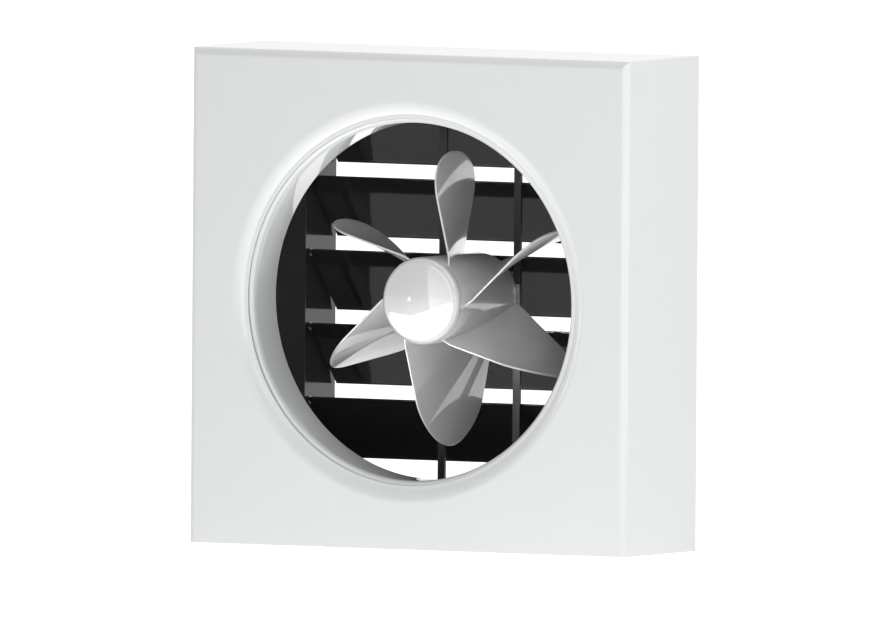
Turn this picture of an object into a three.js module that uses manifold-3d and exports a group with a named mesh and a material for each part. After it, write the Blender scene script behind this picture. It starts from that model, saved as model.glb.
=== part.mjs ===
// Window exhaust fan: a square casing with a dished round inlet, a six-blade impeller on an
// external-rotor motor carried by two upright bars, and a ganged five-slat shutter behind it.
// Millimetres, +Z up. The room side faces -Y and air leaves towards +Y.
// Inside the fan group x and z are measured from the impeller axis, and y is the depth behind
// the front face of the casing.

import * as THREE from 'three';
import Module from 'manifold-3d';
import { mergeVertices } from 'three/addons/utils/BufferGeometryUtils.js';

const wasm = await Module();
wasm.setup();

// ---------------------------------------------------------------- driving dimensions

// Clearances
const FIT = 0.3;               // between pieces that seat on each other
const RUN = 0.6;               // between pieces that turn past each other
const OVERCUT = 1;             // how far a cutter reaches past the face it opens

// Casing
const CASE_SIZE = 500;         // width and height
const CASE_DEPTH = 151.7;
const CASE_SHEET = 1.5;
const EDGE_RADIUS = 8;         // front edge at the top and the two sides; the bottom is square
const RIM_LAP = 6;             // straight rim of the front panel that laps over the walls
const DISH_WIDTH = 13.5;       // rounded entry of the inlet, measured along the radius
const DISH_DEPTH = 4.5;
const LIP_WIDTH = 4;           // flat ring inside the rounded entry
const MOUTH_RADIUS = 185.5;    // inner edge of the flat ring
const REAR_FLANGE = 12;        // inward flange that the rear panel is screwed to

// Inlet shroud
const SHROUD_SHEET = 1.2;
const SHROUD_STEP = 4.9;       // how far the wall of the shroud stands inside the mouth
const SHROUD_ENTRY = 8.5;      // depth of the rounded entry
const SHROUD_LENGTH = 49.4;
const SHROUD_BEAD = 1.8;
const SHROUD_FLANGE_INSET = 1; // from the flange's rim to the outer edge of the flat ring

// Rear panel and cable entry
const PANEL_SHEET = 1.5;
const OPENING_SIZE = 396.4;
const OPENING_CORNER = 4;
const GROMMET_RADIUS = 8;
const GROMMET_NECK = 6;
const GROMMET_BORE = 3.6;
const GROMMET_LIP = 2;
const GROMMET_CHAMFER = 1;

// Motor bars
const BAR_SPACING = 85.3;      // between the middles of the two bars
const BAR_WIDTH = 8;
const BAR_THICKNESS = 3.2;
const BAR_PAD = 34;            // length of each end pad on the rear panel
const BAR_EDGE_GAP = 5;        // between the joggle and the edge of the opening

// Impeller
const HUB_RADIUS = 44.2;
const HUB_WALL = 2;
const BLADE_COUNT = 6;
const TIP_RADIUS = 149;
const BLADE_THICKNESS = 2;
const BLADE_FRONT = 40;        // depth of the leading edges
const BLADE_PITCH_DEPTH = 113; // depth over which the two measured edge lines lie
const BLADE_ROUNDING = 48;     // height of the half-ellipse that ends the blade
const LEAD_ROOT = 27.9;        // sideways place of the leading edge at its root
const LEAD_LEAN = -0.24;       // sideways run of the leading edge for each mm outward
const LEAD_ROOT_HEIGHT = 33;
const TRAIL_ROOT = -19.5;
const TRAIL_LEAN = 0.20;
const TRAIL_ROOT_HEIGHT = 39.5;

// Nose cap
const NOSE_FRONT = 20.6;
const NOSE_DOME_RISE = 4;
const NOSE_EDGE_RADIUS = 7;
const NOSE_BAND = 4.1;         // straight band behind the rounded edge
const NOSE_SPIGOT = 4.3;

// Motor
const MOTOR_PLATE = 2.4;
const MOTOR_EAR_HEIGHT = 26;
const SHAFT_RADIUS = 4;
const BEARING_RADIUS = 11;
const BEARING_WIDTH = 7;
const BEARING_TUBE_WALL = 2;
const BEARING_TUBE_LENGTH = 88;
const ROTOR_WEB_FRONT = 44;
const ROTOR_WEB = 3;
const ROTOR_BOSS_RADIUS = 10;
const ROTOR_BOSS_FRONT = 4;    // how far the boss stands out in front of the web
const ROTOR_BOSS_REAR = 9;
const AIR_GAP = 0.8;
const CAGE_WALL = 6.6;
const STACK_LENGTH = 48;
const STACK_REAR_GAP = 25;     // between the stack and the motor plate
const STATOR_TEETH = 12;
const TOOTH_SHOE_SHARE = 0.84; // of the pitch between teeth, at the air gap
const TOOTH_NECK_SHARE = 0.4;
const TOOTH_SHOE_DEPTH = 3;
const STATOR_RING = 6;         // ring that joins the teeth
const WINDING_LENGTH = 11;
const WINDING_INSET = 3;       // of the end turns inside the air gap
const CAGE_OVERLAP = 2;        // of the rotor cage past each end of the stack
const SHAFT_COLLAR = 2;        // how far the shaft's collar stands out
const SHAFT_CHAMFER = 0.5;
const NUT_ACROSS_FLATS = 13;
const NUT_LENGTH = 4;

// Shutter
const SLAT_COUNT = 5;
const SLAT_LAP = 11.53;        // how far a closed slat lies over the one below
const SLAT_END_GAP = 3;        // between a slat and the side of the frame
const SLAT_FOOT_GAP = 5.2;     // between the lowest slat, hanging, and the frame
const SLAT_THICKNESS = 1.4;
const SLAT_TOP = 1.5;          // from the pivots up to the upper edge
const SLAT_BEAD = 1.2;         // radius of the free edge
const SLAT_REST = 44;          // degrees from hanging straight down
const END_FLANGE = 9.5;        // depth of the flange folded back at each end of a slat
const EAR_RADIUS = 3;          // round the pivot, at the head of that flange
const END_NECK = 5;            // depth of the flange below the ear
const END_NECK_FOOT = 13;      // below the pivot, where the flange starts to deepen
const END_FULL_TOP = 20;       // below the pivot, where the flange is at its full depth
const END_FULL_FOOT = 70;
const PIVOT_DEPTH = 6.9;       // pivots behind the rear face of the casing
const TOP_PIVOT_DROP = 12.52;  // highest pivot below the inside of the frame
const PIVOT_RADIUS = 1.8;
const PIVOT_REACH = 2;         // how far a pivot stands out past the frame
const FRAME_SETBACK = 2.6;     // inside of the frame outside the edge of the opening
const FRAME_SHEET = 1.2;
const FRAME_DEPTH = 67.6;
const FRAME_FLANGE = 15;
const FRAME_LIP = 8;
const LUG_ARM = 26;            // from the slat to the link pin, square to the slat
const LUG_RADIUS = 4.5;
const LUG_BASE = 20;           // length of the lug's foot along the slat
const LUG_ROUND_START = 60;    // degrees between which the lug's end is round
const LUG_ROUND_END = 290;
const LUG_THICKNESS = 1.5;
const LUG_INSET = 27.8;        // from the end of the slat
const LINK_PIN_RADIUS = 1.5;
const LINK_HEAD_RADIUS = 2.6;
const LINK_HEAD = 1;
const TIE_WIDTH = 6;
const TIE_THICKNESS = 2;

// Fasteners
const SCREW_RADIUS = 2;
const SCREW_HEAD_RADIUS = 3.8;
const SCREW_HEAD = 2.4;
const SCREW_LENGTH = 8;
const SCREW_SPACING = 150;     // of the panel screws from the middle of each side
const SHUTTER_SCREW_SPACING = 180;

// Facets round a full circle
const ROUND_LARGE = 64;
const ROUND_MEDIUM = 32;
const ROUND_SMALL = 8;
const ARC_STEPS = 4;

// ---------------------------------------------------------------- sizes that follow

const HALF = CASE_SIZE / 2;
const INSIDE = HALF - CASE_SHEET;
const RIM_REAR = EDGE_RADIUS + RIM_LAP;
const WALL_FRONT = RIM_REAR + FIT;
const LAP_HALF = INSIDE - FIT;
const SHROUD_FRONT = DISH_DEPTH + CASE_SHEET + FIT;
const SHROUD_RADIUS = MOUTH_RADIUS - SHROUD_STEP;
const SHROUD_REAR = SHROUD_FRONT + SHROUD_LENGTH;

const PANEL_FRONT = CASE_DEPTH - PANEL_SHEET;
const PANEL_HALF = INSIDE - FIT;
const FLANGE_REAR = PANEL_FRONT - FIT;
const FLANGE_FRONT = FLANGE_REAR - CASE_SHEET;
const SCREW_LINE = INSIDE - REAR_FLANGE / 2;

const BAR_FRONT = CASE_DEPTH + RUN + FIT;
const BAR_REAR = BAR_FRONT + BAR_THICKNESS;
const PAD_REAR = PANEL_FRONT - FIT;
const PAD_FRONT = PAD_REAR - BAR_THICKNESS;
const PLATE_REAR = BAR_FRONT - FIT;
const PLATE_FRONT = PLATE_REAR - MOTOR_PLATE;
const HUB_REAR = PLATE_FRONT - RUN;
const BLADE_REAR = HUB_REAR - FIT;
const HUB_FRONT = NOSE_FRONT + NOSE_DOME_RISE + NOSE_EDGE_RADIUS + NOSE_BAND + FIT;

const FRAME_FRONT = CASE_DEPTH + FIT;
const FRAME_REAR = FRAME_FRONT + FRAME_DEPTH;
const FRAME_INSIDE = OPENING_SIZE / 2 + FRAME_SETBACK;
const FRAME_OUTSIDE = FRAME_INSIDE + FRAME_SHEET;
const FRAME_SCREW_LINE = FRAME_OUTSIDE + FRAME_FLANGE / 2;
const PIVOT_Y = CASE_DEPTH + PIVOT_DEPTH;
const SLAT_HALF = FRAME_INSIDE - SLAT_END_GAP;
const SLAT_PITCH = (2 * FRAME_INSIDE - TOP_PIVOT_DROP - SLAT_LAP - SLAT_FOOT_GAP) / SLAT_COUNT;
const SLAT_WIDTH = SLAT_PITCH + SLAT_LAP;
const LUG_PLACE = SLAT_HALF - LUG_INSET;
const BAR_SCREW_Z = FRAME_OUTSIDE + FRAME_FLANGE + SCREW_HEAD_RADIUS + RUN;

// ---------------------------------------------------------------- finishes

function finish(color, roughness, metalness) {
  return new THREE.MeshStandardMaterial({ color, roughness, metalness });
}
const WHITE_PAINT = finish(0xdde0de, 0.45, 0.0);
const WHITE_GLOSS = finish(0xf2f2f2, 0.15, 0.0);
const BLADE_GLOSS = finish(0xc9c9c9, 0.2, 0.1);
const BLACK_PAINT = finish(0x232325, 0.35, 0.1);
const DARK_BAR = finish(0x3a3a3c, 0.4, 0.2);
const ZINC = finish(0xb4b8ba, 0.35, 0.9);
const STEEL = finish(0x8c8f92, 0.4, 0.9);
const DIE_CAST = finish(0x9a9c9e, 0.55, 0.7);
const COPPER = finish(0xa85f2e, 0.4, 0.8);
const RUBBER = finish(0x1a1a1a, 0.8, 0.0);

// ---------------------------------------------------------------- geometry helpers

// A closed surface from a list of points and a list of index triples, without slivers of no area.
function closedSurface(points, triangles) {
  const raw = new THREE.BufferGeometry();
  const numbers = points.flatMap((point) => point.toArray());
  raw.setAttribute('position', new THREE.Float32BufferAttribute(numbers, 3));
  raw.setIndex(triangles.flat());
  return weld(raw);
}

function weld(geometry) {
  const bare = new THREE.BufferGeometry();
  bare.setAttribute('position', geometry.getAttribute('position').clone());
  bare.setIndex(geometry.index);
  const welded = mergeVertices(bare);
  const index = welded.index.array;
  const kept = [];
  for (let i = 0; i < index.length; i += 3) {
    const [a, b, c] = [index[i], index[i + 1], index[i + 2]];
    if (a !== b && b !== c && c !== a) kept.push(a, b, c);
  }
  welded.setIndex(kept);
  return welded;
}

function solid(geometry) {
  const surface = weld(geometry);
  return new wasm.Manifold(new wasm.Mesh({
    numProp: 3,
    vertProperties: surface.getAttribute('position').array,
    triVerts: new Uint32Array(surface.index.array),
  }));
}

function surface(body) {
  const mesh = body.getMesh();
  const geometry = new THREE.BufferGeometry();
  geometry.setAttribute('position', new THREE.BufferAttribute(new Float32Array(mesh.vertProperties), 3));
  geometry.setIndex(new THREE.BufferAttribute(new Uint32Array(mesh.triVerts), 1));
  return geometry;
}

// Turns a closed outline of [radius, depth] points about the impeller axis.
function revolve(outline, segments) {
  const points = outline.map(([radius, depth]) => new THREE.Vector2(radius, depth));
  if (THREE.ShapeUtils.isClockWise(points)) points.reverse();
  points.push(points[0].clone());
  return new THREE.LatheGeometry(points, segments);
}

// Points on a quarter or other part of an ellipse in the [radius, depth] plane.
function arc(centre, radii, fromDegrees, toDegrees, steps = ARC_STEPS) {
  const points = [];
  for (let i = 0; i <= steps; i += 1) {
    const angle = THREE.MathUtils.degToRad(fromDegrees + ((toDegrees - fromDegrees) * i) / steps);
    points.push([centre[0] + radii[0] * Math.cos(angle), centre[1] + radii[1] * Math.sin(angle)]);
  }
  return points;
}

// A shape drawn in x and z, given a thickness from one depth to another.
function slab(shape, front, rear, curveSegments = ROUND_SMALL) {
  const options = { depth: rear - front, bevelEnabled: false, curveSegments };
  const geometry = new THREE.ExtrudeGeometry(shape, options);
  geometry.rotateX(Math.PI / 2);
  geometry.translate(0, rear, 0);
  return geometry;
}

// A shape drawn in y and z, given a width along x.
function strip(shape, left, right, curveSegments = ROUND_SMALL) {
  const options = { depth: right - left, bevelEnabled: false, curveSegments };
  const geometry = new THREE.ExtrudeGeometry(shape, options);
  const turn = new THREE.Matrix4().makeBasis(
    new THREE.Vector3(0, 1, 0), new THREE.Vector3(0, 0, 1), new THREE.Vector3(1, 0, 0));
  geometry.applyMatrix4(turn);
  geometry.translate(left, 0, 0);
  return geometry;
}

function polygon(points) {
  return new THREE.Shape(points.map(([a, b]) => new THREE.Vector2(a, b)));
}

function square(half, corner = 0) {
  if (corner === 0) return polygon([[-half, -half], [half, -half], [half, half], [-half, half]]);
  const flat = half - corner;
  const corners = [[flat, -flat, -90], [flat, flat, 0], [-flat, flat, 90], [-flat, -flat, 180]];
  return polygon(corners.flatMap(([x, z, turn]) => arc([x, z], [corner, corner], turn, turn + 90)));
}

function disc(radius) {
  return new THREE.Shape().absarc(0, 0, radius, 0, 2 * Math.PI);
}

// A round pin or drill along the depth, at x and z.
function pegDepth(radius, front, rear, x = 0, z = 0, segments = ROUND_SMALL) {
  const geometry = new THREE.CylinderGeometry(radius, radius, rear - front, segments);
  geometry.translate(x, (front + rear) / 2, z);
  return geometry;
}

// A round pin or drill across the fan, at y and z.
function pegAcross(radius, left, right, y, z, segments = ROUND_SMALL) {
  const geometry = new THREE.CylinderGeometry(radius, radius, right - left, segments);
  geometry.rotateZ(Math.PI / 2);
  geometry.translate((left + right) / 2, y, z);
  return geometry;
}

function drill(body, cutters) {
  return cutters.reduce((rest, cutter) => rest.subtract(solid(cutter)), body);
}

function fuse(pieces) {
  return pieces.map(solid).reduce((whole, piece) => whole.add(piece));
}

// ---------------------------------------------------------------- the assembly

const fan = new THREE.Group();
fan.position.set(0, -FRAME_REAR / 2, HALF);

function add(name, geometry, material) {
  const mesh = new THREE.Mesh(geometry, material);
  mesh.name = name;
  fan.add(mesh);
  return mesh;
}

// ---------------------------------------------------------------- casing

// A square tube whose front edge is rounded at the top and the sides and square at the bottom.
function roundedBox(half, radius, front, rear) {
  const rings = [];
  for (let i = 0; i <= ARC_STEPS; i += 1) {
    const angle = (Math.PI / 2) * (i / ARC_STEPS);
    const inset = radius * (1 - Math.sin(angle));
    rings.push({ inset, y: front + radius * (1 - Math.cos(angle)) });
  }
  rings.push({ inset: 0, y: rear });
  const points = rings.flatMap(({ inset, y }) => [
    new THREE.Vector3(-half + inset, y, -half),
    new THREE.Vector3(half - inset, y, -half),
    new THREE.Vector3(half - inset, y, half - inset),
    new THREE.Vector3(-half + inset, y, half - inset),
  ]);
  const triangles = [[0, 1, 2], [0, 2, 3]];
  for (let ring = 0; ring < rings.length - 1; ring += 1) {
    for (let side = 0; side < 4; side += 1) {
      const a = ring * 4 + side;
      const b = ring * 4 + ((side + 1) % 4);
      triangles.push([a, a + 4, b + 4], [a, b + 4, b]);
    }
  }
  const last = (rings.length - 1) * 4;
  triangles.push([last, last + 2, last + 1], [last, last + 3, last + 2]);
  return closedSurface(points, triangles);
}

// The rounded entry of the inlet: an arc that leaves the front panel tangent to it.
function entryCurve(offset) {
  const radius = (DISH_WIDTH ** 2 + DISH_DEPTH ** 2) / (2 * DISH_DEPTH);
  const sweep = THREE.MathUtils.radToDeg(Math.asin(DISH_WIDTH / radius));
  const centre = [MOUTH_RADIUS + LIP_WIDTH + DISH_WIDTH, radius];
  const bent = radius - offset;
  return arc(centre, [bent, bent], 270, 270 - sweep);
}

function rearScrewPlaces() {
  const places = [];
  for (const end of [-1, 1]) {
    for (const side of [-1, 1]) {
      places.push([side * SCREW_LINE, end * SCREW_SPACING], [end * SCREW_SPACING, side * SCREW_LINE]);
    }
  }
  return places;
}

function frontPanel() {
  const tray = solid(roundedBox(HALF, EDGE_RADIUS, 0, RIM_REAR)).subtract(
    solid(roundedBox(INSIDE, EDGE_RADIUS - CASE_SHEET, CASE_SHEET, RIM_REAR + OVERCUT)));
  const entryOuter = MOUTH_RADIUS + LIP_WIDTH + DISH_WIDTH;
  const dish = revolve([
    [MOUTH_RADIUS, CASE_SHEET / 2],
    [entryOuter, CASE_SHEET / 2],
    ...entryCurve(CASE_SHEET),
    [MOUTH_RADIUS, DISH_DEPTH + CASE_SHEET],
  ], ROUND_LARGE);
  const hollow = revolve([
    [0, -OVERCUT],
    [entryOuter, -OVERCUT],
    ...entryCurve(0),
    [0, DISH_DEPTH],
  ], ROUND_LARGE);
  const hole = pegDepth(MOUTH_RADIUS, -OVERCUT, SHROUD_FRONT, 0, 0, ROUND_LARGE);
  return drill(tray.add(solid(dish)), [hollow, hole]);
}

add('front_panel', surface(frontPanel()), WHITE_PAINT);

// The four walls, joggled in at the front to tuck inside the rim of the front panel, with an
// inward flange at the rear.
function casingWalls() {
  const block = fuse([
    slab(square(LAP_HALF), EDGE_RADIUS, WALL_FRONT + CASE_SHEET),
    slab(square(HALF), WALL_FRONT, CASE_DEPTH),
  ]);
  const screwHoles = rearScrewPlaces().map(([x, z]) => (
    pegDepth(SCREW_RADIUS + FIT, FLANGE_FRONT - OVERCUT, FLANGE_REAR + OVERCUT, x, z)));
  return drill(block, [
    slab(square(LAP_HALF - CASE_SHEET), EDGE_RADIUS - OVERCUT, FLANGE_FRONT),
    slab(square(INSIDE), WALL_FRONT + CASE_SHEET, FLANGE_FRONT),
    slab(square(INSIDE - REAR_FLANGE), FLANGE_FRONT - OVERCUT, FLANGE_REAR + OVERCUT),
    slab(square(INSIDE), FLANGE_REAR, CASE_DEPTH + OVERCUT),
    ...screwHoles,
  ]);
}

add('casing_walls', surface(casingWalls()), WHITE_PAINT);

// ---------------------------------------------------------------- inlet shroud

function shroudOutline() {
  const flange = MOUTH_RADIUS + LIP_WIDTH - SHROUD_FLANGE_INSET;
  const entryCentre = [MOUTH_RADIUS, SHROUD_FRONT + SHROUD_ENTRY];
  const beadCentre = [SHROUD_RADIUS + SHROUD_BEAD, SHROUD_REAR - SHROUD_BEAD];
  const outside = [SHROUD_STEP - SHROUD_SHEET, SHROUD_ENTRY - SHROUD_SHEET];
  return [
    [flange, SHROUD_FRONT],
    ...arc(entryCentre, [SHROUD_STEP, SHROUD_ENTRY], 270, 180),
    ...arc(beadCentre, [SHROUD_BEAD, SHROUD_BEAD], 180, 0),
    [SHROUD_RADIUS + SHROUD_SHEET, SHROUD_REAR - 2 * SHROUD_BEAD],
    ...arc(entryCentre, outside, 180, 270, ARC_STEPS / 2),
    [flange, SHROUD_FRONT + SHROUD_SHEET],
  ];
}

add('inlet_shroud', revolve(shroudOutline(), ROUND_LARGE), WHITE_PAINT);

// ---------------------------------------------------------------- rear panel

const BAR_X = [-BAR_SPACING / 2, BAR_SPACING / 2];
const GROMMET_PLACE = -(FRAME_OUTSIDE + FRAME_FLANGE + HALF - REAR_FLANGE) / 2;

function barScrewPlaces() {
  return BAR_X.flatMap((x) => [[x, BAR_SCREW_Z], [x, -BAR_SCREW_Z]]);
}

function shutterScrewPlaces() {
  return [-SHUTTER_SCREW_SPACING, SHUTTER_SCREW_SPACING].flatMap((x) => (
    [[x, FRAME_SCREW_LINE], [x, -FRAME_SCREW_LINE]]));
}

function rearPanel() {
  const shape = square(PANEL_HALF);
  shape.holes.push(square(OPENING_SIZE / 2, OPENING_CORNER));
  const holes = [...rearScrewPlaces(), ...barScrewPlaces(), ...shutterScrewPlaces()].map(([x, z]) => (
    pegDepth(SCREW_RADIUS + FIT, PANEL_FRONT - OVERCUT, CASE_DEPTH + OVERCUT, x, z)));
  const cableHole = pegDepth(
    GROMMET_NECK + FIT, PANEL_FRONT - OVERCUT, CASE_DEPTH + OVERCUT, GROMMET_PLACE, GROMMET_PLACE);
  return drill(solid(slab(shape, PANEL_FRONT, CASE_DEPTH)), [...holes, cableHole]);
}

add('rear_panel', surface(rearPanel()), BLACK_PAINT);

// A rubber bush snapped into the panel: two lips with a neck between them, and a bore for a lead.
function grommet() {
  const front = PANEL_FRONT - FIT;
  const rear = CASE_DEPTH + FIT;
  const outline = [
    [GROMMET_BORE, front - GROMMET_LIP],
    [GROMMET_RADIUS, front - GROMMET_LIP],
    [GROMMET_RADIUS, front],
    [GROMMET_NECK, front],
    [GROMMET_NECK, rear],
    [GROMMET_RADIUS, rear],
    [GROMMET_RADIUS - GROMMET_CHAMFER, rear + GROMMET_LIP],
    [GROMMET_BORE, rear + GROMMET_LIP],
  ];
  return revolve(outline, ROUND_SMALL);
}

const grommetMesh = add('cable_grommet', grommet(), RUBBER);
grommetMesh.position.set(GROMMET_PLACE, 0, GROMMET_PLACE);

// A pan-head screw driven from the rear: the head sits behind the seat and the shank points forward.
function panScrew(seat, length) {
  return revolve([
    [0, seat - length],
    [SCREW_RADIUS, seat - length],
    [SCREW_RADIUS, seat],
    [SCREW_HEAD_RADIUS, seat],
    ...arc([0, seat + SCREW_HEAD / 2], [SCREW_HEAD_RADIUS, SCREW_HEAD / 2], 0, 90, 2),
  ], ROUND_SMALL);
}

function addScrews(name, places, seat, length) {
  places.forEach(([x, z], number) => {
    const screw = add(`${name}_${number + 1}`, panScrew(seat, length), ZINC);
    screw.position.set(x, 0, z);
  });
}

addScrews('panel_screw', rearScrewPlaces(), CASE_DEPTH + FIT, SCREW_LENGTH);
addScrews('bar_screw', barScrewPlaces(), CASE_DEPTH + FIT, SCREW_LENGTH);

// ---------------------------------------------------------------- motor bars

// Straight across the opening, then joggled forward onto the front face of the rear panel.
function motorBar(x) {
  const edge = OPENING_SIZE / 2 - BAR_EDGE_GAP;
  const bend = BAR_FRONT - PAD_FRONT;
  const end = edge + BAR_PAD;
  const outline = polygon([
    [BAR_REAR, -edge + bend], [BAR_REAR, edge - bend],
    [PAD_REAR, edge], [PAD_REAR, end], [PAD_FRONT, end],
    [PAD_FRONT, edge - BAR_THICKNESS / 2], [BAR_FRONT, edge - bend - BAR_THICKNESS / 2],
    [BAR_FRONT, -edge + bend + BAR_THICKNESS / 2], [PAD_FRONT, -edge + BAR_THICKNESS / 2],
    [PAD_FRONT, -end], [PAD_REAR, -end], [PAD_REAR, -edge],
  ]);
  const bar = solid(strip(outline, x - BAR_WIDTH / 2, x + BAR_WIDTH / 2));
  const padHoles = [-BAR_SCREW_Z, BAR_SCREW_Z].map((z) => (
    pegDepth(SCREW_RADIUS + FIT, PAD_FRONT - OVERCUT, PAD_REAR + OVERCUT, x, z)));
  const motorHoles = motorScrewHeights().map((z) => (
    pegDepth(SCREW_RADIUS + FIT, BAR_FRONT - OVERCUT, BAR_REAR + OVERCUT, x, z)));
  return drill(bar, [...padHoles, ...motorHoles]);
}

function motorScrewHeights() {
  return [-MOTOR_EAR_HEIGHT / 4, MOTOR_EAR_HEIGHT / 4];
}

add('motor_bar_left', surface(motorBar(BAR_X[0])), DARK_BAR);
add('motor_bar_right', surface(motorBar(BAR_X[1])), DARK_BAR);

// ---------------------------------------------------------------- motor

const TUBE_INNER = BEARING_RADIUS + FIT;
const TUBE_OUTER = TUBE_INNER + BEARING_TUBE_WALL;
const TUBE_FRONT = PLATE_FRONT - BEARING_TUBE_LENGTH;
const STACK_REAR = PLATE_FRONT - STACK_REAR_GAP;
const STACK_FRONT = STACK_REAR - STACK_LENGTH;
const CAGE_OUTER = HUB_RADIUS - HUB_WALL - FIT;
const CAGE_INNER = CAGE_OUTER - CAGE_WALL;
const STATOR_RADIUS = CAGE_INNER - AIR_GAP;

// Countersunk so that the rotor clears the screws that hold the plate to the bars. The hole for
// a screw is the same outline, wider by a clearance.
function motorScrewOutline(clearance) {
  const cone = SCREW_HEAD_RADIUS - SCREW_RADIUS;
  return [
    [0, PLATE_FRONT],
    [SCREW_HEAD_RADIUS + clearance, PLATE_FRONT],
    [SCREW_RADIUS + clearance, PLATE_FRONT + cone],
    [SCREW_RADIUS + clearance, BAR_REAR],
    [0, BAR_REAR],
  ];
}

// The cast foot of the motor: a round plate with two ears on the bars, and the bearing tube.
function motorPlate() {
  const earHalf = BAR_SPACING / 2 + BAR_WIDTH / 2;
  const plate = slab(disc(HUB_RADIUS - RUN), PLATE_FRONT, PLATE_REAR, ROUND_MEDIUM);
  const earRise = MOTOR_EAR_HEIGHT / 2;
  const ears = slab(
    polygon([[-earHalf, -earRise], [earHalf, -earRise], [earHalf, earRise], [-earHalf, earRise]]),
    PLATE_FRONT, PLATE_REAR);
  const tube = pegDepth(TUBE_OUTER, TUBE_FRONT, PLATE_REAR, 0, 0, ROUND_MEDIUM);
  const bore = pegDepth(TUBE_INNER, TUBE_FRONT - OVERCUT, PLATE_FRONT - FIT, 0, 0, ROUND_MEDIUM);
  const screwSeats = BAR_X.flatMap((x) => motorScrewHeights().map((z) => {
    const seat = revolve(motorScrewOutline(FIT), ROUND_SMALL);
    seat.translate(x, 0, z);
    return seat;
  }));
  return drill(fuse([plate, ears, tube]), [bore, ...screwSeats]);
}

add('motor_plate', surface(motorPlate()), DIE_CAST);

BAR_X.forEach((x, side) => motorScrewHeights().forEach((z, row) => {
  const screw = add(`motor_screw_${side * 2 + row + 1}`, revolve(motorScrewOutline(0), ROUND_SMALL), ZINC);
  screw.position.set(x, 0, z);
}));

// One lamination of the stator: teeth with pole shoes round a central ring.
function laminationShape() {
  const pitch = 360 / STATOR_TEETH;
  const shoe = (pitch * TOOTH_SHOE_SHARE) / 2;
  const neck = (pitch * TOOTH_NECK_SHARE) / 2;
  const ringRadius = TUBE_OUTER + FIT + STATOR_RING;
  const polar = (radius, degrees) => {
    const angle = THREE.MathUtils.degToRad(degrees);
    return [radius * Math.cos(angle), radius * Math.sin(angle)];
  };
  const points = [];
  for (let tooth = 0; tooth < STATOR_TEETH; tooth += 1) {
    const middle = tooth * pitch;
    points.push(polar(ringRadius, middle - neck));
    points.push(polar(STATOR_RADIUS - TOOTH_SHOE_DEPTH, middle - neck));
    points.push(polar(STATOR_RADIUS - TOOTH_SHOE_DEPTH / 2, middle - shoe));
    points.push(polar(STATOR_RADIUS, middle - shoe));
    points.push(polar(STATOR_RADIUS, middle + shoe));
    points.push(polar(STATOR_RADIUS - TOOTH_SHOE_DEPTH / 2, middle + shoe));
    points.push(polar(STATOR_RADIUS - TOOTH_SHOE_DEPTH, middle + neck));
    points.push(polar(ringRadius, middle + neck));
  }
  const shape = polygon(points);
  shape.holes.push(disc(TUBE_OUTER + FIT));
  return shape;
}

add('stator_core', slab(laminationShape(), STACK_FRONT, STACK_REAR, ROUND_MEDIUM / 2), STEEL);

// The end turns of the windings: a soft-cornered ring on each end of the stack.
function endTurns(middle) {
  const inner = TUBE_OUTER + 2 * RUN;
  const outer = STATOR_RADIUS - WINDING_INSET;
  const radii = [(outer - inner) / 2, WINDING_LENGTH / 2];
  const outline = arc([(inner + outer) / 2, middle], radii, 0, 360, 2 * ARC_STEPS).slice(1);
  return revolve(outline, ROUND_MEDIUM / 2);
}

add('winding_front', endTurns(STACK_FRONT - FIT - WINDING_LENGTH / 2), COPPER);
add('winding_rear', endTurns(STACK_REAR + FIT + WINDING_LENGTH / 2), COPPER);

function bearing(front) {
  return revolve([
    [SHAFT_RADIUS + FIT, front],
    [BEARING_RADIUS, front],
    [BEARING_RADIUS, front + BEARING_WIDTH],
    [SHAFT_RADIUS + FIT, front + BEARING_WIDTH],
  ], ROUND_MEDIUM / 2);
}

const REAR_BEARING = PLATE_FRONT - 2 * FIT - BEARING_WIDTH;
add('bearing_front', bearing(TUBE_FRONT), STEEL);
add('bearing_rear', bearing(REAR_BEARING), STEEL);

// ---------------------------------------------------------------- rotor

const WEB_REAR = ROTOR_WEB_FRONT + ROTOR_WEB;
const BOSS_FRONT = ROTOR_WEB_FRONT - ROTOR_BOSS_FRONT;

function rotorShell() {
  const inner = HUB_RADIUS - HUB_WALL;
  const bore = SHAFT_RADIUS + FIT;
  return revolve([
    [HUB_RADIUS, HUB_FRONT],
    [HUB_RADIUS, HUB_REAR],
    [inner, HUB_REAR],
    [inner, WEB_REAR],
    [ROTOR_BOSS_RADIUS, WEB_REAR],
    [ROTOR_BOSS_RADIUS, WEB_REAR + ROTOR_BOSS_REAR],
    [bore, WEB_REAR + ROTOR_BOSS_REAR],
    [bore, BOSS_FRONT],
    [ROTOR_BOSS_RADIUS, BOSS_FRONT],
    [ROTOR_BOSS_RADIUS, ROTOR_WEB_FRONT],
    [inner, ROTOR_WEB_FRONT],
    [inner, HUB_FRONT],
  ], ROUND_MEDIUM);
}

add('rotor_shell', rotorShell(), WHITE_GLOSS);

add('rotor_cage', revolve([
  [CAGE_INNER, STACK_FRONT - CAGE_OVERLAP],
  [CAGE_OUTER, STACK_FRONT - CAGE_OVERLAP],
  [CAGE_OUTER, STACK_REAR + CAGE_OVERLAP],
  [CAGE_INNER, STACK_REAR + CAGE_OVERLAP],
], ROUND_MEDIUM), STEEL);

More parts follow.
